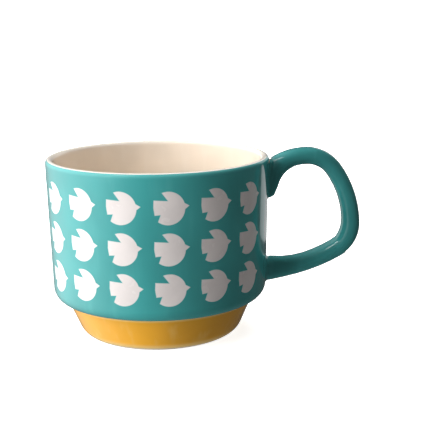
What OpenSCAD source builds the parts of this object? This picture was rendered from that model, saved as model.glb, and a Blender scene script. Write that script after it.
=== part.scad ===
// Stacking stoneware mug: a clay cup with a stepped foot, a looped clay handle luted on with slip,
// and separate glaze coats. Units are mm, +Z is up, the origin is the centre of the foot's underside
// and the handle points along +X.

/* [Cup] */
// Outside diameter at the lip, over the glaze
rim_diameter = 90; // [70:1:120]
// Height of the cup from the table to the top of the lip
height = 72.6; // [55:0.2:100]
// Outside diameter at the top of the shoulder rounding, over the glaze
shoulder_diameter = 87.2; // [66:0.2:116]
// Height of the shoulder's underside above the table
shoulder_height = 15.2; // [10:0.2:22]
// Radius of the shoulder's rounded lower edge
shoulder_round = 4.9; // [3:0.1:8]
// Wall thickness at the lip, over both glazes; the lip is a full round of this width
wall_thickness = 3.2; // [2.6:0.1:5]
// Wall thickness low in the cup, over both glazes
wall_thickness_low = 3.8; // [3.2:0.1:6]

/* [Foot] */
// Diameter of the foot where it meets the shoulder, over the glaze
foot_diameter = 76.8; // [56:0.2:100]
// How far the foot's side leans inward below the shoulder, in degrees
foot_lean = 23.6; // [8:0.2:30]
// Radius of the foot's rounded lower corner
foot_round = 6.5; // [4:0.1:9]
// Width of the bare ring that stands on the table
foot_ring_width = 3.5; // [2.5:0.1:6]
// Depth of the recess under the foot
recess_depth = 2; // [1:0.1:3]
// Height above the table at which the yellow glaze stops
bare_edge_height = 1.6; // [0.8:0.1:3]
// Thickness of the floor over the recess, glaze included
floor_thickness = 3.6; // [2.8:0.1:8]

/* [Handle] */
// Height of the handle's highest centreline point above the lip (negative is below)
peak_drop = -1.3; // [-6:0.1:4]
// Reach of that point outward from the lip's outside
peak_reach = 15.75; // [12:0.25:24]
// Thickness of the grip in the plane of the loop, over the glaze
grip_thickness = 7.5; // [6:0.1:10]
// Extra width of the grip across the loop
grip_flat = 2; // [1:0.1:4]
// Diameter of the flared lower root, over the glaze
root_diameter = 11.2; // [9:0.1:14]
// Thickness of the slip joint between handle and wall
joint_thickness = 0.8; // [0.6:0.05:1.4]
// How far the slip joint shows around each root
joint_margin = 0.7; // [0.4:0.05:1.5]

/* [Glaze] */
// Thickness of every glaze coat
glaze = 0.35; // [0.25:0.05:0.6]
// How far below the top of the lip the cream glaze meets the teal
lip_line = 0.6; // [0.3:0.1:1.2]

/* [Birds] */
// Number of bird columns round the cup
bird_columns = 13; // [9:1:14]
// Angle between bird columns, in degrees
bird_pitch = 23; // [20:0.5:27]
// Direction of the first bird column, in degrees from the handle
bird_start = -39; // [-45:1:-30]
// Size of a bird relative to the spacing of the rows
bird_scale = 1; // [0.8:0.05:1.1]
// Gap left round each bird so that it lies in its window without touching
bird_gap = 0.02; // [0.01:0.01:0.1]

/* [Hidden] */
$fn = 96;
past = 5;
rim_r = rim_diameter / 2;
lip_r = wall_thickness / 2;
lip_z = height - lip_r;
low_r = shoulder_diameter / 2;
low_z = shoulder_height + shoulder_round;
foot_r = foot_diameter / 2;
lean = foot_lean;
// Centre of the foot's corner rounding: tangent to the table and to the leaning side.
corner_x = foot_r - foot_round / cos(lean)
           - (shoulder_height - foot_round) * tan(lean);
corner_z = foot_round;
recess_r = corner_x - foot_ring_width;

// Inside, over the cream glaze.
in_top_r = rim_r - wall_thickness;
in_low_r = low_r - wall_thickness_low;
in_rise = 4.4;
in_low_z = low_z + in_rise;
in_round = 6;
in_foot_r = foot_r - wall_thickness_low + 0.4;
in_foot_lean = 18;
in_floor_z = recess_depth + floor_thickness;
in_corner = 7;
in_step_z = in_low_z - in_round;
in_corner_z = in_floor_z + in_corner;
in_corner_x = in_foot_r - in_corner / cos(in_foot_lean)
              - (in_step_z - in_corner_z) * tan(in_foot_lean);

// Handle centreline: tangent arcs in the XZ plane, sized with the wall from shoulder to lip.
design_wall = 57.4;
wall_k = (height - shoulder_height) / design_wall;
peak_x = rim_r + peak_reach;
peak_z = height + peak_drop;
arc_r = [24 * wall_k, 13.6 * wall_k, 39.3 * wall_k, 12.5 * wall_k, 64 * wall_k];
arc_a = [142, 90, 36, 2, -60.5, -91];
c0 = [peak_x, peak_z - arc_r[0]];
c1 = [peak_x, peak_z - arc_r[1]];
c2 = c1 + (arc_r[1] - arc_r[2]) * [cos(arc_a[2]), sin(arc_a[2])];
c3 = c2 + (arc_r[2] - arc_r[3]) * [cos(arc_a[3]), sin(arc_a[3])];
c4 = c3 + (arc_r[3] - arc_r[4]) * [cos(arc_a[4]), sin(arc_a[4])];
arc_c = [c0, c1, c2, c3, c4];
grip_r = grip_thickness / 2;
grip_lap = 0.6;
bend_extra = 0.06;
root_r = root_diameter / 2;
root_z = c4[1] - arc_r[4] - 0.2;
root_x = low_r + 0.5;
root_length = 13 * wall_k;
root_tilt = 7;
root_spread = 0.6;

// Upper root: a pad down the wall with a hollow curve under the grip.
pad_top_z = peak_z - 6.5 * wall_k;
pad_tip_z = peak_z - 17.4 * wall_k;
pad_foot_z = peak_z - 20 * wall_k;
pad_proud = 2.5;
pad_out = rim_r + pad_proud;
pad_end_x = peak_x - 6 * wall_k;
pad_hollow_r = 9.6 * wall_k;
pad_hollow = [peak_x - 3.05 * wall_k, peak_z - 13.5 * wall_k];
pad_width = grip_thickness + grip_flat - 1;
joint_top_z = lip_z - 0.6;

// Bird rows share out the wall between shoulder and lip, and the birds grow with their spacing.
bird_row_step = 15.65 * wall_k;
bird_mid_z = shoulder_height + 28.9 * wall_k;
bird_k = bird_scale * wall_k;
bird_in = low_r - 4;
bird_out = rim_r + 4;

// One bird flying to the right, about its own centre. Wings and breast lie on one circle, which the
// beak breaks on the right and the tail on the left.
wing_centre = [-0.7, 0];
wing_r = 6.4;
bird_half = wing_r * bird_k;
beak_tip = [7.35, 0.75];
tail_top = [-6.1, 3.25];
tail_middle = [-6.25, 0.3];
tail_bottom = [-5.8, -2.7];
lower_notch = [-3.7, -2.5];
upper_notch = [-1, 2.9];
bird_outline = concat(
  [tail_top, tail_middle, tail_bottom, lower_notch],
  arc_points(wing_centre, wing_r, -128, -5, 9),
  [beak_tip],
  arc_points(wing_centre, wing_r, 17, 113, 7),
  [upper_notch]
);

function arc_points(centre, r, from, to, steps) =
  [for (i = [0 : steps]) centre + r * [cos(from + (to - from) * i / steps),
                                       sin(from + (to - from) * i / steps)]];

// The cup's outside in section, set back from the finished surface by t, without the lip's round.
module outside(t) {
  polygon([
    [0, corner_z], [corner_x, corner_z],
    [corner_x + (foot_round - t) * cos(lean), corner_z - (foot_round - t) * sin(lean)],
    [foot_r - t / cos(lean), shoulder_height + t],
    [low_r - shoulder_round, shoulder_height + t],
    [low_r - shoulder_round, low_z],
    [low_r - t, low_z],
    [rim_r - t, lip_z],
    [0, lip_z]
  ]);
  translate([low_r - shoulder_round, low_z]) circle(r = shoulder_round - t);
  translate([corner_x, corner_z]) circle(r = foot_round - t);
  translate([0, t]) square([corner_x, corner_z]);
}

// The cup's inside in section, set out from the finished surface by t.
module inside(t) {
  polygon([
    [0, in_step_z - t], [in_low_r - in_round, in_step_z - t],
    [in_low_r - in_round, in_low_z],
    [in_low_r + t, in_low_z],
    [in_top_r + t, lip_z],
    [in_top_r + t, height + past], [0, height + past]
  ]);
  translate([in_low_r - in_round, in_low_z]) circle(r = in_round + t);
  polygon([
    [0, in_corner_z], [in_corner_x, in_corner_z],
    [in_corner_x + (in_corner + t) * cos(in_foot_lean),
     in_corner_z - (in_corner + t) * sin(in_foot_lean)],
    [in_foot_r + t / cos(in_foot_lean), in_step_z],
    [0, in_step_z]
  ]);
  translate([in_corner_x, in_corner_z]) circle(r = in_corner + t);
  translate([0, in_floor_z - t]) square([in_corner_x, in_corner + t]);
}

module right_half() {
  translate([0, -past]) square([rim_r * 2, height + 2 * past]);
}

// The clay cup in section: wall, floor, stepped foot and bare standing ring.
module clay_section() {
  intersection() {
    right_half();
    union() {
      difference() {
        outside(glaze);
        inside(glaze);
        translate([0, -past]) square([recess_r, recess_depth + past]);
      }
      translate([rim_r - lip_r, lip_z]) circle(r = lip_r - glaze);
      translate([recess_r, 0]) square([foot_ring_width, recess_depth]);
    }
  }
}

module mug_body() {
  color("#efe9dc") rotate_extrude() clay_section();
}

// One length of the handle, swept round arc i with the profile set in by t. Lengths 0, 2 and 4
// run a little way into the two bends, which are a hair thicker.
module grip_arc(i, t) {
  flat = grip_flat / 2;
  bend = i % 2;
  lap = bend ? 0 : grip_lap / arc_r[i] * 180 / PI;
  r = grip_r + bend * bend_extra - t;
  translate([arc_c[i][0], 0, arc_c[i][1]]) rotate([90, 0, 0])
    rotate([0, 0, arc_a[i + 1] - lap])
      rotate_extrude(angle = arc_a[i] - arc_a[i + 1] + 2 * lap)
        translate([arc_r[i], 0]) {
          translate([0, flat]) circle(r = r);
          translate([0, -flat]) circle(r = r);
          translate([-r, -flat]) square([2 * r, grip_flat]);
        }
}

module upper_pad(t) {
  rotate([90, 0, 0])
    linear_extrude(pad_width - 2 * t, center = true)
      difference() {
        polygon([
          [low_r - past, pad_foot_z + t], [pad_out - pad_proud, pad_foot_z + t],
          [pad_out - t, pad_tip_z + t / 2], [pad_end_x, pad_top_z - t],
          [low_r - past, pad_top_z - t]
        ]);
        translate(pad_hollow) circle(r = pad_hollow_r + t);
      }
}

module lower_flare(t) {
  translate([root_x, 0, root_z]) rotate([0, 90 - root_tilt, 0])
    translate([0, 0, -past])
      cylinder(r1 = root_r + root_spread - t, r2 = grip_r - t, h = root_length + past);
}

// The whole handle as far into the cup as the arcs run, set in from its finished surface by t.
module handle_form(t) {
  grip_arc(0, t);
  grip_arc(1, t);
  grip_arc(2, t);
  grip_arc(3, t);
  grip_arc(4, t);
  upper_pad(t);
  lower_flare(t);
}

// A solid cup whose outside stands off the clay by t, to cut the handle and joints to the wall.
module cup_to(t) {
  rotate_extrude() intersection() {
    right_half();
    union() {
      outside(glaze - t);
      translate([0, lip_z - glaze]) square([rim_r - glaze + t, past]);
    }
  }
}

module handle() {
  color("#e9e2d3") difference() {
    handle_form(glaze);
    cup_to(joint_thickness);
  }
}

module handle_glaze() {
  color("#2f8f8a") difference() {
    handle_form(0);
    handle_form(glaze);
    cup_to(joint_thickness);
  }
}

// Footprints of the two joints, run outward along +X.
module upper_footprint() {
  w = pad_width + 2 * joint_margin;
  translate([low_r - past, -w / 2, pad_foot_z - joint_margin])
    cube([3 * past, w, joint_top_z - pad_foot_z + joint_margin]);
}

module lower_footprint() {
  translate([low_r - past, 0, root_z]) rotate([0, 90, 0])
    cylinder(r = root_r + root_spread / 2 + joint_margin, h = 3 * past);
}

module joint_band() {
  difference() {
    cup_to(joint_thickness);
    cup_to(0);
  }
}

module upper_joint() {
  color("#d8cfbd") intersection() {
    joint_band();
    upper_footprint();
  }
}

module lower_joint() {
  color("#d8cfbd") intersection() {
    joint_band();
    lower_footprint();
  }
}

module liner_glaze() {
  color("#f3e6cf") rotate_extrude() intersection() {
    right_half();
    union() {
      difference() {
        inside(glaze);
        inside(0);
        translate([0, lip_z]) square([2 * rim_r, height]);
      }
      difference() {
        translate([rim_r - lip_r, lip_z]) circle(r = lip_r);
        translate([rim_r - lip_r, lip_z]) circle(r = lip_r - glaze);
        translate([rim_r - 2 * lip_r - past, lip_z - past]) square([2 * lip_r + 2 * past, past]);
        translate([rim_r - lip_r, lip_z - past]) square([past, past + lip_r - lip_line]);
      }
    }
  }
}

module wall_coat() {
  rotate_extrude() intersection() {
    translate([0, shoulder_height]) square([2 * rim_r, height]);
    union() {
      difference() {
        outside(0);
        outside(glaze);
      }
      intersection() {
        difference() {
          translate([rim_r - lip_r, lip_z]) circle(r = lip_r);
          translate([rim_r - lip_r, lip_z]) circle(r = lip_r - glaze);
        }
        translate([rim_r - lip_r, lip_z]) square([past, lip_r - lip_line]);
      }
    }
  }
}

// One bird run outward through the wall, sized by the factor s.
module bird_bar(s) {
  rotate([90, 0, 90]) linear_extrude(bird_out - bird_in)
    polygon([for (p = bird_outline) p * bird_k * s]);
}

module bird_ring(row, s) {
  for (i = [0 : bird_columns - 1])
    rotate([0, 0, bird_start - i * bird_pitch])
      translate([bird_in, 0, bird_mid_z + row * bird_row_step]) bird_bar(s);
}

module wall_glaze() {
  color("#2f9c97") difference() {
    wall_coat();
    bird_ring(1, 1);
    bird_ring(0, 1);
    bird_ring(-1, 1);
    upper_footprint();
    lower_footprint();
  }
}

module bird_row(row) {
  color("#f4f1ec") intersection() {
    wall_coat();
    bird_ring(row, 1 - bird_gap / bird_half);
  }
}

module birds_upper_row() {
  bird_row(1);
}

module birds_middle_row() {
  bird_row(0);
}

module birds_lower_row() {
  bird_row(-1);
}

module foot_glaze() {
  color("#e2a32e") rotate_extrude() difference() {
    intersection() {
      translate([corner_x, bare_edge_height])
        square([rim_r, shoulder_height - bare_edge_height]);
      outside(0);
    }
    outside(glaze);
  }
}

mug_body();
handle();
upper_joint();
lower_joint();
liner_glaze();
wall_glaze();
handle_glaze();
foot_glaze();
birds_upper_row();
birds_middle_row();
birds_lower_row();
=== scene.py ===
import math

import bmesh
import bpy
from bpy.props import FloatProperty, FloatVectorProperty, IntProperty, PointerProperty
from bpy.types import Operator, Panel, PropertyGroup
from mathutils import Matrix, Vector


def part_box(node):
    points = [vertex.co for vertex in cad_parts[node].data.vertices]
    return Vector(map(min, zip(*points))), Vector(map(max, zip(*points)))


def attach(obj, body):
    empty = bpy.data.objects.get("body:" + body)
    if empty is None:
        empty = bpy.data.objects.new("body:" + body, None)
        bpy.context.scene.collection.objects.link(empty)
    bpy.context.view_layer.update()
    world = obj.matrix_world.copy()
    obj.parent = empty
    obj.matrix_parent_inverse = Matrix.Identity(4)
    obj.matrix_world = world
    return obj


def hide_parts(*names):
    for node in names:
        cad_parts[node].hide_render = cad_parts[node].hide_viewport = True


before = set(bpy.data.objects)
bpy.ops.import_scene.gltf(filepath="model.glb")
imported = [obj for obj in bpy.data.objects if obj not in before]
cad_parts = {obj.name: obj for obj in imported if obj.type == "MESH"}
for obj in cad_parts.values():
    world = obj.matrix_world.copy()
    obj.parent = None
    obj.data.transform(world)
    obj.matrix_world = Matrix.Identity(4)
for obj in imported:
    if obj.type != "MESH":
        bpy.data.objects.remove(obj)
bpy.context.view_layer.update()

bl_info = {
    "name": "Stacking stoneware mug",
    "version": (1, 0, 0),
    "blender": (4, 5, 0),
    "location": "View3D > Sidebar > Mug",
    "description": "Builds a glazed stacking mug with bird motifs piece by piece",
    "category": "Object",
}

MM = 0.001
LINER_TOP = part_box("liner_glaze")[1].z
LIP_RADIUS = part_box("wall_glaze")[1].y
SHOULDER_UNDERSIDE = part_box("wall_glaze")[0].z
FOOT_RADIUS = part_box("foot_glaze")[1].y
GLAZE_FOOT_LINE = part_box("foot_glaze")[0].z


def length(name, description, default):
    return FloatProperty(name=name, description=description, default=default,
                         min=0.0, unit="LENGTH", precision=5)


def turn_angle(name, description, degrees):
    return FloatProperty(name=name, description=description,
                         default=math.radians(degrees), subtype="ANGLE")


def colour(name, description, rgb):
    return FloatVectorProperty(name=name, description=description, default=rgb,
                               subtype="COLOR", size=3, min=0.0, max=1.0)


def watts(name, description, default):
    return FloatProperty(name=name, description=description, default=default,
                         min=0.0, unit="POWER", precision=2)


class CupSizes(PropertyGroup):
    lip_radius: length("Lip radius", "Outside radius at the lip, over the glaze", LIP_RADIUS)
    height: length("Height", "Table to the top of the lip", LINER_TOP)
    shoulder_radius: length("Shoulder radius", "Outside radius above the shoulder", 43.6 * MM)
    shoulder_height: length("Shoulder height", "Underside of the shoulder", SHOULDER_UNDERSIDE)
    shoulder_round: length("Shoulder rounding", "Radius of the shoulder's lower edge", 4.9 * MM)
    wall: length("Lip thickness", "Wall at the lip, over both glazes", 3.2 * MM)
    wall_low: length("Lower wall", "Wall low in the cup, over both glazes", 3.8 * MM)
    foot_radius: length("Foot radius", "Foot where it meets the shoulder", FOOT_RADIUS)
    foot_lean: turn_angle("Foot lean", "How far the foot's side leans inward", 23.6)
    foot_round: length("Foot rounding", "Radius of the foot's lower corner", 6.5 * MM)
    ring_width: length("Standing ring", "Width of the bare ring on the table", 3.5 * MM)
    recess: length("Recess", "Depth of the hollow under the foot", 2.0 * MM)
    floor: length("Floor", "Thickness over the recess, with glaze", 3.6 * MM)
    bare_edge: length("Bare edge", "Height at which the foot's glaze stops", GLAZE_FOOT_LINE)
    glaze: length("Glaze", "Thickness of every coat", 0.35 * MM)
    lip_line: length("Lip line", "Drop from the lip's top to the teal", 0.25 * MM)
    steps: IntProperty(name="Steps", description="Facets round the cup", default=160, min=48)


class HandleSizes(PropertyGroup):
    grip: length("Grip thickness", "Across the grip, in the loop's plane", 7.0 * MM)
    grip_width: length("Grip width", "Across the grip, square to the loop", 9.4 * MM)
    bend_swell: length("Bend swell", "Extra thickness at the lower bend", 1.25 * MM)
    arm_slim: length("Arm slimming", "Taken off the top of the lower arm", 1.0 * MM)
    root: length("Lower root", "Height of the handle where it meets the cup low down", 10.8 * MM)
    peak_reach: length("Peak reach", "Highest point out from the lip", 15.75 * MM)
    peak_drop: length("Peak drop", "Highest centreline point below the lip", 1.3 * MM)
    fillet: length("Fillet", "Hollow where a root meets the wall", 1.5 * MM)


class BirdSizes(PropertyGroup):
    columns: IntProperty(name="Columns", description="Birds in a row", default=13, min=1)
    pitch: turn_angle("Pitch", "Angle between columns", 23.0)
    start: turn_angle("Start", "First column, from the handle", -38.6)
    middle: length("Middle row", "Height of the middle row", 44.1 * MM)
    row_step: length("Row step", "Height between rows", 15.65 * MM)
    wing_radius: length("Wing circle", "Radius of wings and breast", 6.4 * MM)
    proud: length("Proud", "How far the white glaze stands off the teal", 0.03 * MM)


class GlazeColours(PropertyGroup):
    teal: colour("Teal", "Wall and handle glaze", (0.052, 0.330, 0.325))
    teal_thin: colour("Thin teal", "Teal where it runs thin over an edge", (0.100, 0.430, 0.420))
    yellow: colour("Yellow", "Foot glaze", (0.80, 0.385, 0.030))
    # paler yellow, used for the streaks and towards the coat's top and bottom edges
    yellow_pale: colour("Thin yellow", "Yellow where it runs thin", (0.90, 0.62, 0.22))
    cream: colour("Cream", "Liner glaze", (0.86, 0.755, 0.635))
    white: colour("White", "Bird glaze", (0.75, 0.695, 0.675))
    clay: colour("Clay", "Bare stoneware", (0.66, 0.58, 0.47))


class StageSettings(PropertyGroup):
    camera_distance: length("Distance", "Camera to the cup's axis, level", 400 * MM)
    camera_height: length("Height", "Camera above the table", 134.1 * MM)
    camera_yaw: FloatProperty(name="Yaw", description="Turn to the right", default=0.0591,
                              subtype="ANGLE")
    camera_pitch: FloatProperty(name="Pitch", description="Tilt down", default=0.2149,
                                subtype="ANGLE")
    camera_roll: FloatProperty(name="Roll", description="Tilt sideways", default=-0.0110,
                               subtype="ANGLE")
    lens: FloatProperty(name="Lens", description="Focal length in mm", default=82.92)
    key: watts("Key", "Large softbox on the left", 6.6)
    back: watts("Back", "Softbox high behind, which lights the inside", 4.4)
    side: watts("Side", "Softbox high on the right", 1.2)
    spot: watts("Spot", "Long thin lamp high on the left", 0.4)
    strip: watts("Strip", "Upright panel behind on the right", 0.28)
    bounce: watts("Bounce", "Light that comes up through the table", 2.4)
    tent: FloatProperty(name="Tent", description="Glow of the light tent's left side",
                        default=1.9)
    room: FloatProperty(name="Room", description="Even light from all round", default=0.07)


# ---------------------------------------------------------------- working clay: shared shaping


class Section:
    """A half section drawn as a wire in the XZ plane, then turned round the axis as on a wheel."""

    def __init__(self, r, z):
        self.bm = bmesh.new()
        self.tip = self.bm.verts.new((r, 0.0, z))

    def line(self, r, z, steps=1):
        start, end = self.tip.co.copy(), Vector((r, 0.0, z))
        for i in range(steps):
            self.tip = bmesh.ops.extrude_vert_indiv(self.bm, verts=[self.tip])["verts"][0]
            self.tip.co = start.lerp(end, (i + 1) / steps)

    def arc(self, r, z, sweep, steps):
        """An arc about (r, z); a positive sweep turns from +X towards +Z."""
        made = bmesh.ops.spin(self.bm, geom=[self.tip], cent=(r, 0.0, z), axis=(0.0, -1.0, 0.0),
                              angle=sweep, steps=steps)
        self.tip = next(v for v in made["geom_last"] if isinstance(v, bmesh.types.BMVert))

    def turned(self, steps):
        bmesh.ops.spin(self.bm, geom=self.bm.verts[:] + self.bm.edges[:], cent=(0.0, 0.0, 0.0),
                       axis=(0.0, 0.0, 1.0), angle=math.tau, steps=steps, use_merge=True)
        bmesh.ops.remove_doubles(self.bm, verts=self.bm.verts[:], dist=0.002 * MM)
        bmesh.ops.recalc_face_normals(self.bm, faces=self.bm.faces[:])
        return self.bm


def ray(angle):
    """A unit vector in the XZ plane, turned from +X towards +Z."""
    return Vector((math.cos(angle), 0.0, math.sin(angle)))


def give_thickness(bm, thickness):
    bmesh.ops.solidify(bm, geom=bm.faces[:], thickness=thickness)
    bmesh.ops.recalc_face_normals(bm, faces=bm.faces[:])


def finish_piece(bm, name, nodes, finish, sharp=math.radians(38)):
    mesh = bpy.data.meshes.new(name)
    bm.to_mesh(mesh)
    bm.free()
    mesh.shade_smooth()
    mesh.set_sharp_from_angle(angle=sharp)
    mesh.materials.append(finish)
    piece = bpy.data.objects.new(name, mesh)
    bpy.context.scene.collection.objects.link(piece)
    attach(piece, "root")
    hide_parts(*nodes)
    return piece


# ---------------------------------------------------------------- finishes


class Finish:
    """A node material; the helpers add one node each and return its output."""

    def __init__(self, name, roughness, coat=0.0, coat_roughness=0.03, ior=1.5):
        self.material = bpy.data.materials.new(name)
        self.material.use_nodes = True
        self.nodes = self.material.node_tree.nodes
        self.links = self.material.node_tree.links
        self.shader = self.nodes["Principled BSDF"]
        self.shader.inputs["Roughness"].default_value = roughness
        self.shader.inputs["IOR"].default_value = ior
        self.shader.inputs["Coat Weight"].default_value = coat
        self.shader.inputs["Coat Roughness"].default_value = coat_roughness
        self.place = self.nodes.new("ShaderNodeTexCoord").outputs["Object"]

    def stretched(self, scale):
        node = self.nodes.new("ShaderNodeMapping")
        node.inputs["Scale"].default_value = scale
        self.links.new(self.place, node.inputs["Vector"])
        return node.outputs["Vector"]

    def noise(self, scale, detail=3.0, rough=0.5, stretch=(1.0, 1.0, 1.0)):
        node = self.nodes.new("ShaderNodeTexNoise")
        node.inputs["Scale"].default_value = scale
        node.inputs["Detail"].default_value = detail
        node.inputs["Roughness"].default_value = rough
        self.links.new(self.stretched(stretch), node.inputs["Vector"])
        return node.outputs["Fac"]

    def ranged(self, value, low, high, out_low, out_high):
        node = self.nodes.new("ShaderNodeMapRange")
        node.interpolation_type = "SMOOTHSTEP"
        self.links.new(value, node.inputs["Value"])
        for key, number in (("From Min", low), ("From Max", high),
                            ("To Min", out_low), ("To Max", out_high)):
            node.inputs[key].default_value = number
        return node.outputs["Result"]

    def height(self):
        node = self.nodes.new("ShaderNodeSeparateXYZ")
        self.links.new(self.place, node.inputs["Vector"])
        return node.outputs["Z"]

    def attribute(self, name):
        node = self.nodes.new("ShaderNodeAttribute")
        node.attribute_name = name
        return node.outputs["Fac"]

    def blend(self, factor, a, b):
        """Colour a where the factor is 0 and b where it is 1; either may be a link."""
        node = self.nodes.new("ShaderNodeMix")
        node.data_type = "RGBA"
        self.links.new(factor, node.inputs["Factor"])
        for socket, value in ((node.inputs[6], a), (node.inputs[7], b)):
            if isinstance(value, bpy.types.NodeSocket):
                self.links.new(value, socket)
            else:
                socket.default_value = (*value, 1.0)
        return node.outputs[2]

    def paint(self, value):
        self.links.new(value, self.shader.inputs["Base Color"])

    def gloss(self, value):
        self.links.new(value, self.shader.inputs["Roughness"])

    def relief(self, layers):
        """Stacks bumps: (height output, strength, depth in metres)."""
        last = None
        for value, strength, depth in layers:
            node = self.nodes.new("ShaderNodeBump")
            node.inputs["Strength"].default_value = strength
            node.inputs["Distance"].default_value = depth
            self.links.new(value, node.inputs["Height"])
            if last is not None:
                self.links.new(last, node.inputs["Normal"])
            last = node.outputs["Normal"]
        self.links.new(last, self.shader.inputs["Normal"])


def darker(rgb, amount):
    return tuple(c * amount for c in rgb)


def glaze(name, rgb, thin, edges, roughness=0.12):
    """A fired gloss glaze: slow pooling, faint streaks, thin colour at edges, orange-peel relief.

    edges lists (height where it is thinnest, height where it is full)."""
    f = Finish(name, roughness, coat=0.35)
    pooled = f.ranged(f.noise(38.0, 2.0), 0.35, 0.68, 0.0, 1.0)
    base = f.blend(pooled, rgb, darker(rgb, 0.86))
    streak = f.ranged(f.noise(210.0, 2.0, stretch=(1.0, 1.0, 0.16)), 0.5, 0.8, 0.0, 0.22)
    base = f.blend(streak, base, thin)
    for thinnest, full in edges:
        worn = f.ranged(f.height(), min(thinnest, full), max(thinnest, full),
                        float(thinnest < full), float(thinnest > full))
        base = f.blend(worn, base, thin)
    f.paint(base)
    f.gloss(f.ranged(f.noise(95.0, 4.0, 0.6), 0.3, 0.75, roughness * 0.75, roughness * 1.35))
    f.relief([
        (f.noise(55.0, 1.0), 0.35, 0.12 * MM),
        (f.noise(900.0, 2.0), 0.10, 0.02 * MM),
    ])
    return f.material


def bare_clay(name, rgb):
    """Fired stoneware: dry, sandy, with iron specks."""
    f = Finish(name, 0.8)
    base = f.blend(f.ranged(f.noise(60.0, 4.0), 0.3, 0.7, 0.0, 1.0), rgb, darker(rgb, 0.82))
    speck = f.ranged(f.noise(1500.0, 1.0, 0.4), 0.66, 0.72, 0.0, 0.75)
    f.paint(f.blend(speck, base, (0.20, 0.13, 0.08)))
    f.gloss(f.ranged(f.noise(400.0, 3.0), 0.3, 0.7, 0.68, 0.92))
    f.relief([
        (f.noise(700.0, 5.0, 0.65), 0.5, 0.10 * MM),
        (f.noise(2600.0, 2.0, 0.6), 0.4, 0.05 * MM),
    ])
    return f.material


def bird_glaze(name, rgb, edge_rgb):
    """White glaze that takes a little of the teal where the two meet."""
    f = Finish(name, 0.2, coat=0.15)
    cloudy = f.ranged(f.noise(120.0, 3.0), 0.35, 0.7, 0.0, 1.0)
    base = f.blend(cloudy, rgb, darker(rgb, 0.93))
    f.paint(f.blend(f.ranged(f.attribute("rim"), 0.0, 1.0, 0.0, 1.0), base, edge_rgb))
    f.gloss(f.ranged(f.noise(240.0, 3.0), 0.3, 0.7, 0.16, 0.28))
    f.relief([
        (f.noise(300.0, 3.0), 0.25, 0.05 * MM),
    ])
    return f.material


def studio_paper(name):
    """A glowing white sheet; its glow is painted dimmer near the cup's axis, a painted shade round
    where the cup stands.
    """
    f = Finish(name, 0.9)
    grain = f.ranged(f.noise(6.0, 2.0), 0.3, 0.7, 0.0, 1.0)
    f.paint(f.blend(grain, (0.90, 0.90, 0.90), (0.93, 0.93, 0.93)))
    away = f.nodes.new("ShaderNodeVectorMath")
    away.operation = "LENGTH"
    f.links.new(f.place, away.inputs[0])
    f.shader.inputs["Emission Color"].default_value = (1.0, 1.0, 1.0, 1.0)
    # painted shade: the glow falls from full at 35 cm out to 0.74 within 5 cm of the cup's axis
    f.links.new(f.ranged(away.outputs["Value"], 0.05, 0.35, 0.74, 1.0),
                f.shader.inputs["Emission Strength"])
    return f.material


_finishes = {}


def finish(key):
    """The material of that name, made once from the scene's colours."""
    if key not in _finishes:
        c = bpy.context.scene.mug_colours
        cup = bpy.context.scene.mug_cup
        foot_top = cup.shoulder_height
        makers = {
            "teal": lambda: glaze("teal_glaze", tuple(c.teal), tuple(c.teal_thin),
                                  [(cup.height, cup.height - 2.2 * MM)]),
            # painted shade: the handle's coat is the wall's teal darkened to 76 %, so the same glaze
            # reads darker on the handle than on the wall
            "handle_teal_painted_shade": lambda: glaze("handle_teal_glaze", darker(tuple(c.teal), 0.76),
                                         tuple(c.teal_thin), [], 0.08),
            # the yellow turns paler over 1.6 mm below the foot's top edge, under the shoulder, and
            # over 2.6 mm above the bare edge
            "yellow": lambda: glaze("yellow_glaze", tuple(c.yellow), tuple(c.yellow_pale),
                                    [(foot_top, foot_top - 1.6 * MM),
                                     (cup.bare_edge, cup.bare_edge + 2.6 * MM)]),
            "cream": lambda: glaze("cream_glaze", tuple(c.cream), (0.90, 0.83, 0.74),
                                   [(cup.height, cup.height - 2.5 * MM)]),
            "white": lambda: bird_glaze("white_bird_glaze", tuple(c.white), tuple(c.teal_thin)),
            "clay": lambda: bare_clay("stoneware_clay", tuple(c.clay)),
            "slip": lambda: bare_clay("joint_slip", darker(tuple(c.clay), 0.9)),
        }
        _finishes[key] = makers[key]()
    return _finishes[key]


# ---------------------------------------------------------------- the cup's section


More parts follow.
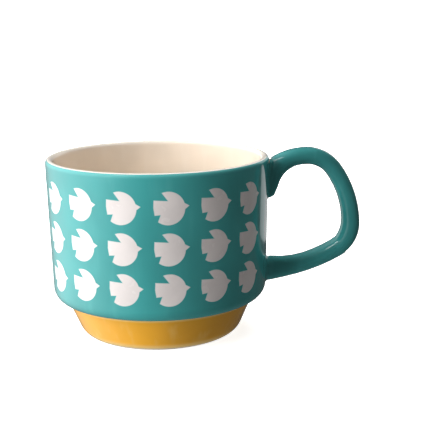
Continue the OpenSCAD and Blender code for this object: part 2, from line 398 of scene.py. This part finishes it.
class CupSection:
    """Points and radii that the clay and its coats share."""

    def __init__(self, cup):
        self.cup = cup
        self.lip_r = cup.wall / 2
        self.lip_x = cup.lip_radius - self.lip_r
        self.lip_z = cup.height - self.lip_r
        self.shoulder_x = cup.shoulder_radius - cup.shoulder_round
        self.shoulder_z = cup.shoulder_height + cup.shoulder_round
        lean = cup.foot_lean
        self.corner_x = (cup.foot_radius - cup.foot_round / math.cos(lean)
                         - (cup.shoulder_height - cup.foot_round) * math.tan(lean))
        self.corner_z = cup.foot_round
        self.in_low_x = cup.shoulder_radius - cup.wall_low
        self.in_low_z = self.shoulder_z + 4.4 * MM
        self.in_round = 6.0 * MM
        self.in_turn = math.radians(74)
        self.in_step = 2.0 * MM
        self.in_corner = 7.0 * MM
        self.in_lean = math.radians(18)
        self.floor_z = cup.recess + cup.floor

    def wall_radius(self, z):
        """Radius of the finished outside at height z, on the plain wall."""
        share = (z - self.shoulder_z) / (self.lip_z - self.shoulder_z)
        return self.cup.shoulder_radius + share * (self.cup.lip_radius - self.cup.shoulder_radius)

    def draw_inside(self, s, t):
        """From the lip's inner side down to the floor's centre, t under the finished surface."""
        s.line(self.in_low_x + t, self.in_low_z, 20)
        s.arc(self.in_low_x - self.in_round, self.in_low_z, -self.in_turn, 12)
        centre = s.tip.co + ray(-self.in_turn) * (self.in_step - t)
        s.arc(centre.x, centre.z, self.in_turn - self.in_lean, 6)
        corner = self.in_corner + t
        at = s.tip.co
        end_z = self.floor_z - t + corner * (1 - math.sin(self.in_lean))
        end_x = at.x - (at.z - end_z) * math.tan(self.in_lean)
        s.line(end_x, end_z, 6)
        s.arc(end_x - corner * math.cos(self.in_lean), end_z + corner * math.sin(self.in_lean),
              self.in_lean - math.pi / 2, 10)
        s.line(0.0, s.tip.co.z, 12)


def scene_section(context):
    return CupSection(context.scene.mug_cup)


# ---------------------------------------------------------------- the handle


class Grip:
    """The handle's loop: an outer and an inner outline, paired ring by ring.

    Headings are degrees in the loop's plane: 0 points away from the cup and 90 points up."""

    BENDS = ((24.0, 52.0), (13.6, 54.0), (39.3, 34.0), (12.5, 62.5), (64.0, 25.0))  # radius mm, turn
    FIRST_HEADING = 142.0
    OVAL = 2.25                        # squareness of the section; 2 is an ellipse
    # the upper root spreads down the wall over a hollow inner curve
    ROOT_HEADING = 97.0
    ROOT_TOP_HEADING = 121.0
    ROOT_OVAL = 3.0
    ROOT_RINGS = 14
    HOLLOW_RADIUS = 10.9 * MM
    HOLLOW_END = 168.0
    HOLLOW_SHARE = 0.78                # of the root's rings; the rest run straight
    ROOT_LOW_POINT = Vector((-13.45 * MM, 0.0, -16.1 * MM))    # from the peak
    # the lower bend and the lower arm
    SWELL_HEADING = -38.0
    SWELL_SPREAD = 44.0
    ARM_HEADING = -50.0
    ARM_EXTRA = 0.3 * MM
    ARM_EXTRA_WITHIN = 10.0 * MM
    ROOT_FADE = 6.5 * MM
    SLIM_HEADING = -60.0
    SLIM_WITHIN = 14.0 * MM
    ARM_END = 2.0 * MM                 # from the wall

    def __init__(self, sizes, section):
        self.sizes = sizes
        self.section = section
        self.peak = Vector((section.cup.lip_radius + sizes.peak_reach, 0.0,
                            section.cup.height - sizes.peak_drop))
        self.first_radius = self.BENDS[0][0] * MM
        self.first_centre = self.peak - Vector((0.0, 0.0, self.first_radius))

    def centreline(self):
        """(point, outward direction) along the bends, from the upper root to the lower."""
        centre = self.first_centre.copy()
        heading = self.FIRST_HEADING
        stations = []
        for number, (radius, turn) in enumerate(self.BENDS):
            radius *= MM
            last = number == len(self.BENDS) - 1
            steps = max(6, round(turn / 4.0))
            for i in range(steps + last):
                out = ray(math.radians(heading - turn * i / steps))
                stations.append((centre + out * radius, out))
            heading -= turn
            if not last:
                next_radius = self.BENDS[number + 1][0] * MM
                centre += ray(math.radians(heading)) * (radius - next_radius)
        return stations

    def off_wall(self, point):
        return max(0.0, point.x - self.section.wall_radius(point.z))

    def half_thickness(self, heading, point):
        """Half the grip in the loop's plane: fuller in the lower bend and at the lower root."""
        s = self.sizes
        offset = (heading - self.SWELL_HEADING) / self.SWELL_SPREAD
        half = s.grip / 2 + math.exp(-offset ** 2) * s.bend_swell / 2
        if heading < self.ARM_HEADING:
            away = self.off_wall(point)
            half += (s.root - s.grip) / 2 * math.exp(-away / self.ROOT_FADE)
            half += self.ARM_EXTRA * min(1.0, away / self.ARM_EXTRA_WITHIN)
        return half

    def slimming(self, heading, point):
        """Taken off the inner side of the lower arm, eased in along the bend."""
        share = min(1.0, max(0.0, heading / self.SLIM_HEADING))
        eased = share * share * (3 - 2 * share)
        return eased * min(1.0, self.off_wall(point) / self.SLIM_WITHIN) * self.sizes.arm_slim

    def upper_root(self):
        """Rings from the wall to where the loop begins."""
        s = self.sizes
        begin, top, hollow_end = (math.radians(a) for a in (
            self.ROOT_HEADING, self.ROOT_TOP_HEADING, self.HOLLOW_END))
        inner_radius = self.first_radius - s.grip / 2
        hollow_centre = self.first_centre + ray(begin) * (inner_radius - self.HOLLOW_RADIUS)
        low_point = self.peak + self.ROOT_LOW_POINT
        rings = []
        for i in range(self.ROOT_RINGS, 0, -1):
            u = i / self.ROOT_RINGS
            outer = self.first_centre + ray(begin + (top - begin) * u) * (self.first_radius
                                                                          + s.grip / 2)
            on_hollow = min(1.0, u / self.HOLLOW_SHARE)
            inner = hollow_centre + ray(begin + (hollow_end - begin) * on_hollow) \
                * self.HOLLOW_RADIUS
            if u > self.HOLLOW_SHARE:
                inner = inner.lerp(low_point, (u - self.HOLLOW_SHARE) / (1 - self.HOLLOW_SHARE))
            squareness = self.OVAL + (self.ROOT_OVAL - self.OVAL) * u
            rings.append((inner, outer, s.grip_width / 2, squareness))
        return rings

    def loop(self):
        """Rings round the loop, until the lower arm comes near the wall."""
        rings = []
        for point, out in self.centreline():
            heading = math.degrees(math.atan2(out.z, out.x))
            if heading > self.ROOT_HEADING + 0.01:
                continue
            near_wall = point.x < self.section.wall_radius(point.z) + self.ARM_END
            if heading < self.SLIM_HEADING and near_wall:
                break
            half = self.half_thickness(heading, point)
            slim = self.slimming(heading, point)
            rings.append((point - out * (half - slim), point + out * half,
                          self.sizes.grip_width / 2, self.OVAL))
        return rings

    def pairs(self):
        """(inner, outer, half width, squareness) for each ring between the roots."""
        return self.upper_root() + self.loop()


def ring_point(inner, outer, half_width, squareness, around):
    """A point on the oval that spans inner to outer, at the angle around."""
    middle = (inner + outer) / 2
    reach = (outer - inner) / 2
    c, s = math.cos(around), math.sin(around)
    power = 2.0 / squareness
    along = math.copysign(abs(c) ** power, c)
    across = math.copysign(abs(s) ** power, s)
    return middle + reach * along + Vector((0.0, half_width * across, 0.0))


def seated(point, section, clearance):
    """The point moved along X to stand off the cup's outside by the clearance."""
    r = section.wall_radius(max(point.z, section.shoulder_z))
    if point.z < section.shoulder_z:
        drop = min(section.shoulder_z - point.z, section.cup.shoulder_round * 0.999)
        r -= section.cup.shoulder_round - math.sqrt(section.cup.shoulder_round ** 2 - drop ** 2)
    r += clearance
    return Vector((math.sqrt(max(r * r - point.y ** 2, 0.0)), point.y, point.z))


def grown(inner, outer, half_width, extra):
    along = (outer - inner).normalized()
    return inner - along * extra, outer + along * extra, half_width + extra


class Tube:
    """A skin pulled ring by ring from a starting circle."""

    def __init__(self, segments):
        self.bm = bmesh.new()
        self.around = self.bm.verts.layers.float.new("around")
        made = bmesh.ops.create_circle(self.bm, segments=segments, radius=MM)
        for v in made["verts"]:
            v[self.around] = math.atan2(v.co.y, v.co.x)
        self.ring = self.bm.edges[:]
        self.first = self.ring
        self.started = False

    def pull(self, place):
        """Adds a ring whose points are place(angle)."""
        if self.started:
            made = bmesh.ops.extrude_edge_only(self.bm, edges=self.ring)["geom"]
            self.ring = [e for e in made if isinstance(e, bmesh.types.BMEdge)]
        self.started = True
        for v in {v for e in self.ring for v in e.verts}:
            v.co = place(v[self.around])

    def capped(self):
        bmesh.ops.contextual_create(self.bm, geom=self.first)
        bmesh.ops.contextual_create(self.bm, geom=self.ring)
        bmesh.ops.recalc_face_normals(self.bm, faces=self.bm.faces[:])
        return self.bm


ROOT_CLEARANCES = [c * MM for c in (-0.25, 0.0, 0.06, 0.2, 0.45, 0.8, 1.2)]
UPPER_FILLET = 1.0 * MM
UPPER_ROOT_DROP = 0.9 * MM
LOWER_ROOT_DROP = 0.25 * MM


def handle_rings(sizes, section, inset, stand_off=-math.inf):
    """A placing function for each ring of the handle, from the upper root to the lower.

    inset sinks the rings under the finished surface, and stand_off keeps them off the wall."""
    body = Grip(sizes, section).pairs()

    def root(ring, fillet, drop):
        """Rings that follow the wall and widen into the hollow fillet beside it."""
        inner, outer, width, squareness = ring
        shift = Vector((0.0, 0.0, -drop))
        placed = []
        for clearance in ROOT_CLEARANCES:
            if clearance < stand_off:
                continue
            left = max(0.0, fillet - max(clearance, 0.0))
            extra = fillet - math.sqrt(fillet ** 2 - left ** 2)
            i, o, w = grown(inner + shift, outer + shift, width, extra - inset)
            placed.append(lambda a, i=i, o=o, w=w, c=clearance: seated(
                ring_point(i, o, w, squareness, a), section, c))
        return placed

    places = root(body[0], UPPER_FILLET, UPPER_ROOT_DROP)
    for inner, outer, width, squareness in body:
        i, o, w = grown(inner, outer, width, -inset)
        places.append(lambda a, i=i, o=o, w=w, sq=squareness: ring_point(i, o, w, sq, a))
    places += reversed(root(body[-1], sizes.fillet, LOWER_ROOT_DROP))
    return places


# ---------------------------------------------------------------- operators, one per piece


class MUG_OT_cup_clay(Operator):
    """Turn the clay cup: wall, stepped foot, bare standing ring and recess"""
    bl_idname = "mug.cup_clay"
    bl_label = "Clay cup"

    def execute(self, context):
        cup = context.scene.mug_cup
        sec = scene_section(context)
        g = cup.glaze
        lean = cup.foot_lean
        chamfer = 0.4 * MM
        recess_round = 1.0 * MM
        lap = 0.03  # angle by which the clay steps back under the glaze's edge
        recess_x = sec.corner_x - cup.ring_width
        s = Section(0.0, cup.recess)
        s.line(recess_x - recess_round, cup.recess, 8)
        s.arc(recess_x - recess_round, cup.recess - recess_round, -math.pi / 2, 5)
        s.line(recess_x, chamfer)
        s.arc(recess_x + chamfer, chamfer, math.pi / 2, 4)
        s.line(sec.corner_x, 0.0, 2)
        bare = math.asin((cup.bare_edge - sec.corner_z) / cup.foot_round)
        s.arc(sec.corner_x, sec.corner_z, bare + math.pi / 2, 8)
        inner = cup.foot_round - g
        s.line(sec.corner_x + inner * math.cos(bare + lap),
               sec.corner_z + inner * math.sin(bare + lap))
        s.arc(sec.corner_x, sec.corner_z, -lean - bare - lap, 8)
        s.line(cup.foot_radius - g / math.cos(lean), cup.shoulder_height + g, 4)
        s.line(sec.shoulder_x, cup.shoulder_height + g)
        s.arc(sec.shoulder_x, sec.shoulder_z, math.pi / 2, 10)
        s.line(cup.lip_radius - g, sec.lip_z, 10)
        s.arc(sec.lip_x, sec.lip_z, math.pi, 12)
        sec.draw_inside(s, g)
        finish_piece(s.turned(cup.steps), "cup_clay", ["mug_body"],
                     finish("clay"))
        return {"FINISHED"}


class MUG_OT_liner(Operator):
    """Pour the cream liner glaze, wrapped over the lip"""
    bl_idname = "mug.liner"
    bl_label = "Cream liner"

    def execute(self, context):
        cup = context.scene.mug_cup
        sec = scene_section(context)
        start = math.asin((sec.lip_r - cup.lip_line) / sec.lip_r)
        s = Section(sec.lip_x + sec.lip_r * math.cos(start), sec.lip_z
                    + sec.lip_r * math.sin(start))
        s.arc(sec.lip_x, sec.lip_z, math.pi - start, 14)
        sec.draw_inside(s, 0.0)
        bm = s.turned(cup.steps)
        point_inside_up(bm)
        give_thickness(bm, cup.glaze)
        finish_piece(bm, "cream_liner", ["liner_glaze"], finish("cream"))
        return {"FINISHED"}


def point_inside_up(bm):
    """Makes the liner's faces look into the cup, so that its thickness goes into the clay."""
    floor = min(bm.faces, key=lambda f: f.calc_center_median().xy.length
                + f.calc_center_median().z)
    if floor.normal.z < 0:
        bmesh.ops.reverse_faces(bm, faces=bm.faces[:])


def point_away_from_axis(bm):
    """Makes a coat's faces look outward."""
    side = max(bm.faces, key=lambda f: abs(f.normal.xy.length))
    centre = side.calc_center_median()
    if side.normal.xy.dot(centre.xy) < 0:
        bmesh.ops.reverse_faces(bm, faces=bm.faces[:])


class MUG_OT_wall_coat(Operator):
    """Dip the wall in teal, from the lip line to the foot"""
    bl_idname = "mug.wall_coat"
    bl_label = "Teal wall coat"

    def execute(self, context):
        cup = context.scene.mug_cup
        sec = scene_section(context)
        start = math.asin((sec.lip_r - cup.lip_line) / sec.lip_r)
        s = Section(sec.lip_x + sec.lip_r * math.cos(start), sec.lip_z
                    + sec.lip_r * math.sin(start))
        s.arc(sec.lip_x, sec.lip_z, -start, 6)
        s.line(cup.shoulder_radius, sec.shoulder_z, 24)
        s.arc(sec.shoulder_x, sec.shoulder_z, -math.pi / 2, 16)
        s.line(cup.foot_radius + 0.02 * MM, cup.shoulder_height, 2)
        bm = s.turned(cup.steps)
        point_away_from_axis(bm)
        give_thickness(bm, cup.glaze)
        finish_piece(bm, "teal_wall_coat", ["wall_glaze"], finish("teal"))
        return {"FINISHED"}


class MUG_OT_foot_coat(Operator):
    """Band the foot in yellow, stopping above the bare standing ring"""
    bl_idname = "mug.foot_coat"
    bl_label = "Yellow foot coat"

    def execute(self, context):
        cup = context.scene.mug_cup
        sec = scene_section(context)
        lean = cup.foot_lean
        s = Section(cup.foot_radius, cup.shoulder_height - 0.02 * MM)
        s.line(sec.corner_x + cup.foot_round * math.cos(lean),
               sec.corner_z - cup.foot_round * math.sin(lean), 10)
        bare = math.asin((cup.bare_edge - sec.corner_z) / cup.foot_round)
        s.arc(sec.corner_x, sec.corner_z, bare + lean, 12)
        bm = s.turned(cup.steps)
        point_away_from_axis(bm)
        give_thickness(bm, cup.glaze)
        finish_piece(bm, "yellow_foot_coat", ["foot_glaze"], finish("yellow"))
        return {"FINISHED"}


class MUG_OT_handle(Operator):
    """Pull the clay handle and its teal coat"""
    bl_idname = "mug.handle"
    bl_label = "Handle and coat"

    def execute(self, context):
        sizes = context.scene.mug_handle
        sec = scene_section(context)
        g = sec.cup.glaze
        core = Tube(36)
        for place in handle_rings(sizes, sec, g, stand_off=0.5 * MM):
            core.pull(place)
        finish_piece(core.capped(), "handle_clay", ["handle"], finish("clay"),
                     math.radians(60))
        coat = Tube(48)
        for place in handle_rings(sizes, sec, 0.0):
            coat.pull(place)
        bm = coat.bm
        bmesh.ops.recalc_face_normals(bm, faces=bm.faces[:])
        give_thickness(bm, g * 0.9)
        finish_piece(bm, "handle_teal_coat", ["handle_glaze"],
                     finish("handle_teal_painted_shade"), math.radians(60))
        return {"FINISHED"}


class MUG_OT_joints(Operator):
    """Press a pad of slip between each handle root and the wall"""
    bl_idname = "mug.joints"
    bl_label = "Slip joints"

    def execute(self, context):
        sizes = context.scene.mug_handle
        sec = scene_section(context)
        body = Grip(sizes, sec).pairs()
        for name, node, ring in (("upper_slip_joint", "upper_joint", body[0]),
                                 ("lower_slip_joint", "lower_joint", body[-1])):
            inner, outer, width, square = ring
            pad = Tube(40)
            for clearance, extra in ((0.02, -0.4), (0.06, -0.1), (0.3, -0.1), (0.44, -0.5)):
                i, o, w = grown(inner, outer, width, extra * MM)
                pad.pull(lambda a, i=i, o=o, w=w, c=clearance * MM: seated(
                    ring_point(i, o, w, square, a), sec, c))
            finish_piece(pad.capped(), name, [node], finish("slip"))
        return {"FINISHED"}


class MUG_OT_birds(Operator):
    """Fill the three rows of bird windows with white glaze"""
    bl_idname = "mug.birds"
    bl_label = "Bird rows"

    DRAWN_WING = 6.4    # the wing circle for which the outline below is drawn
    RIM = 0.28 * MM     # width of the thin edge
    DEPTH = 0.2 * MM    # how far the glaze goes into its window
    HALF_SPAN = 8.0 * MM
    STRIPS = 16         # across a bird, so that it bends with the wall

    def execute(self, context):
        birds = context.scene.mug_birds
        sec = scene_section(context)
        for name, row in (("birds_upper", 1), ("birds_middle", 0), ("birds_lower", -1)):
            bm = self.bird(birds)
            self.wrap(bm, birds, sec, birds.middle + row * birds.row_step)
            bmesh.ops.spin(bm, geom=bm.verts[:] + bm.edges[:] + bm.faces[:], cent=(0, 0, 0),
                           axis=(0, 0, 1), angle=-birds.pitch * (birds.columns - 1),
                           steps=birds.columns - 1, use_duplicate=True)
            bmesh.ops.recalc_face_normals(bm, faces=bm.faces[:])
            finish_piece(bm, name + "_white", [name + "_row"], finish("white"))
        return {"FINISHED"}

    def bird(self, birds):
        """One flat bird in the XZ plane about its own centre, flying towards +X."""
        k = birds.wing_radius / self.DRAWN_WING
        centre = Vector((-0.7 * k, 0.0, 0.0))

        def on_wing(angle):
            return centre + ray(angle) * birds.wing_radius

        tail = ((-6.1, 3.25), (-6.25, 0.3), (-5.8, -2.7), (-3.7, -2.5))
        s = Section(tail[0][0] * k, tail[0][1] * k)
        first = s.tip
        for x, z in tail[1:]:
            s.line(x * k, z * k)
        low, breast, brow, high = (math.radians(a) for a in (-128, -5, 17, 113))
        start = on_wing(low)
        s.line(start.x, start.z)
        s.arc(centre.x, centre.z, breast - low, 22)
        s.line(7.35 * k, 0.75 * k)
        top = on_wing(brow)
        s.line(top.x, top.z)
        s.arc(centre.x, centre.z, high - brow, 18)
        s.line(-1.0 * k, 2.9 * k)
        s.bm.edges.new((s.tip, first))
        return s.bm

    def wrap(self, bm, birds, sec, height):
        """Fills the outline, marks its edge, cuts it into strips and bends it round the wall."""
        rim = bm.verts.layers.float.new("rim")
        bmesh.ops.remove_doubles(bm, verts=bm.verts[:], dist=0.01 * MM)
        bmesh.ops.contextual_create(bm, geom=bm.edges[:])
        bmesh.ops.inset_region(bm, faces=bm.faces[:], thickness=self.RIM, use_even_offset=True,
                               use_boundary=True)
        for v in bm.verts:
            v[rim] = 1.0 if v.is_boundary else 0.0
        for i in range(1, self.STRIPS):
            at = -self.HALF_SPAN + 2 * self.HALF_SPAN * i / self.STRIPS
            bmesh.ops.bisect_plane(bm, geom=bm.verts[:] + bm.edges[:] + bm.faces[:],
                                   plane_co=(at, 0.0, 0.0), plane_no=(1.0, 0.0, 0.0))
        bmesh.ops.triangulate(bm, faces=[f for f in bm.faces if len(f.verts) > 4])
        bmesh.ops.remove_doubles(bm, verts=bm.verts[:], dist=0.01 * MM)
        made = bmesh.ops.extrude_face_region(bm, geom=bm.faces[:])["geom"]
        raised = {v for v in made if isinstance(v, bmesh.types.BMVert)}
        for v in bm.verts:
            z = height + v.co.z
            r = sec.wall_radius(z)
            a = birds.start + v.co.x / r
            r += birds.proud if v in raised else -self.DEPTH
            v.co = (r * math.cos(a), r * math.sin(a), z)


def heading(azimuth, elevation):
    """A direction; the azimuth runs from the camera's side (-Y) towards the handle (+X)."""
    a, e = math.radians(azimuth), math.radians(elevation)
    return Vector((math.sin(a) * math.cos(e), -math.cos(a) * math.cos(e), math.sin(e)))


class MUG_OT_stage(Operator):
    """Set the pale sweep, the soft lights and the camera"""
    bl_idname = "mug.stage"
    bl_label = "Stage"

    def execute(self, context):
        s = context.scene.mug_stage
        self.sweep()
        self.lamp("key_softbox", (-58, 15), 0.75, (0.60, 0.60), s.key, False)
        self.lamp("back_softbox", (180, 50), 0.70, (0.60, 0.50), s.back, False)
        self.lamp("side_softbox", (80, 65), 0.70, (0.50, 0.50), s.side, False)
        self.lamp("spot", (-55, 60), 0.70, (0.30, 0.03), s.spot, True)
        self.lamp("edge_strip", (144, 8), 0.55, (0.31, 0.45), s.strip, True)
        self.lamp("table_light", (0, -90), 0.50, (1.00, 1.00), s.bounce, False)
        self.tent(context, s.room, s.tent, (-96, 8), 2.0)
        context.scene.view_settings.view_transform = "Standard"
        self.camera(context, s)
        return {"FINISHED"}

    def tent(self, context, even, glow, way, tightness):
        """A light tent: an even light plus a soft glow from one way."""
        world = bpy.data.worlds.new("light_tent")
        world.use_nodes = True
        nodes, links = world.node_tree.nodes, world.node_tree.links
        seen = nodes.new("ShaderNodeTexCoord").outputs["Generated"]

        def maths(operation, first, second):
            node = nodes.new("ShaderNodeMath")
            node.operation = operation
            links.new(first, node.inputs[0])
            node.inputs[1].default_value = second
            return node.outputs[0]

        towards = nodes.new("ShaderNodeVectorMath")
        towards.operation = "DOT_PRODUCT"
        links.new(seen, towards.inputs[0])
        towards.inputs[1].default_value = heading(*way)
        lobe = maths("POWER", maths("MAXIMUM", towards.outputs["Value"], 0.0), tightness)
        total = maths("ADD", maths("MULTIPLY", lobe, glow), even)
        background = nodes["Background"]
        background.inputs["Color"].default_value = (1.0, 1.0, 1.0, 1.0)
        links.new(total, background.inputs["Strength"])
        context.scene.world = world

    def sweep(self):
        """A paper sweep, in metres: floor, a wide curve and a wall far behind."""
        half_width, front, back, bend, top = 4.0, -2.0, 2.0, 1.0, 3.0
        bm = bmesh.new()
        tip = bm.verts.new((-half_width, front, 0.0))
        tip = bmesh.ops.extrude_vert_indiv(bm, verts=[tip])["verts"][0]
        tip.co.y = back
        made = bmesh.ops.spin(bm, geom=[tip], cent=(-half_width, back, bend), axis=(1.0, 0.0, 0.0),
                              angle=math.pi / 2, steps=24)
        tip = next(v for v in made["geom_last"] if isinstance(v, bmesh.types.BMVert))
        tip = bmesh.ops.extrude_vert_indiv(bm, verts=[tip])["verts"][0]
        tip.co.z = top
        made = bmesh.ops.extrude_edge_only(bm, edges=bm.edges[:])["geom"]
        for v in made:
            if isinstance(v, bmesh.types.BMVert):
                v.co.x = half_width
        bmesh.ops.recalc_face_normals(bm, faces=bm.faces[:])
        mesh = bpy.data.meshes.new("paper_sweep")
        bm.to_mesh(mesh)
        bm.free()
        mesh.shade_smooth()
        mesh.materials.append(studio_paper("studio_paper"))
        paper = bpy.data.objects.new("paper_sweep", mesh)
        bpy.context.scene.collection.objects.link(paper)
        paper.visible_diffuse = False
        paper.visible_glossy = False
        paper.visible_shadow = False

    def lamp(self, name, way, distance, size, power, mirrored):
        """An area light aimed at the cup; mirrored says whether the glaze reflects its shape."""
        data = bpy.data.lights.new(name, "AREA")
        data.shape = "RECTANGLE"
        data.size, data.size_y = size
        data.energy = power
        lamp = bpy.data.objects.new(name, data)
        away = heading(*way)
        lamp.location = away * distance + Vector((0.0, 0.0, 40 * MM))
        lamp.rotation_euler = away.to_track_quat("Z", "Y").to_euler()
        lamp.visible_glossy = mirrored
        lamp.visible_camera = False
        bpy.context.scene.collection.objects.link(lamp)

    def camera(self, context, s):
        yaw, pitch, roll = s.camera_yaw, s.camera_pitch, s.camera_roll
        ahead = Vector((math.sin(yaw) * math.cos(pitch), math.cos(yaw) * math.cos(pitch),
                        -math.sin(pitch)))
        right = Vector((math.cos(yaw), -math.sin(yaw), 0.0))
        up = right.cross(ahead)
        across = math.cos(roll) * right + math.sin(roll) * up
        above = -math.sin(roll) * right + math.cos(roll) * up
        data = bpy.data.cameras.new("camera")
        data.lens = s.lens
        data.sensor_width = 36.0
        data.clip_start = 0.01
        camera = bpy.data.objects.new("camera", data)
        turn = Matrix((across, above, -ahead)).transposed().to_4x4()
        camera.matrix_world = Matrix.Translation((0.0, -s.camera_distance,
                                                  s.camera_height)) @ turn
        context.scene.collection.objects.link(camera)
        context.scene.camera = camera


class MUG_PT_panel(Panel):
    """Mug pieces and sizes"""
    bl_idname = "MUG_PT_panel"
    bl_label = "Stacking mug"
    bl_space_type = "VIEW_3D"
    bl_region_type = "UI"
    bl_category = "Mug"

    def draw(self, context):
        for cls in PIECES:
            self.layout.operator(cls.bl_idname)
        for group in ("mug_cup", "mug_handle", "mug_birds", "mug_colours", "mug_stage"):
            settings = getattr(context.scene, group)
            box = self.layout.box()
            for key in settings.bl_rna.properties.keys():
                if key not in ("rna_type", "name"):
                    box.prop(settings, key)


GROUPS = {"mug_cup": CupSizes, "mug_handle": HandleSizes, "mug_birds": BirdSizes,
          "mug_colours": GlazeColours, "mug_stage": StageSettings}
PIECES = (MUG_OT_cup_clay, MUG_OT_liner, MUG_OT_wall_coat, MUG_OT_foot_coat, MUG_OT_handle,
          MUG_OT_joints, MUG_OT_birds, MUG_OT_stage)


def register():
    for cls in (*GROUPS.values(), *PIECES, MUG_PT_panel):
        bpy.utils.register_class(cls)
    for name, cls in GROUPS.items():
        setattr(bpy.types.Scene, name, PointerProperty(type=cls))


def unregister():
    for name in GROUPS:
        delattr(bpy.types.Scene, name)
    for cls in (MUG_PT_panel, *reversed(PIECES), *reversed(list(GROUPS.values()))):
        bpy.utils.unregister_class(cls)


def main():
    register()
    bpy.ops.mug.cup_clay()
    bpy.ops.mug.liner()
    bpy.ops.mug.wall_coat()
    bpy.ops.mug.foot_coat()
    bpy.ops.mug.handle()
    bpy.ops.mug.joints()
    bpy.ops.mug.birds()
    bpy.ops.mug.stage()


if __name__ == "__main__":
    main()
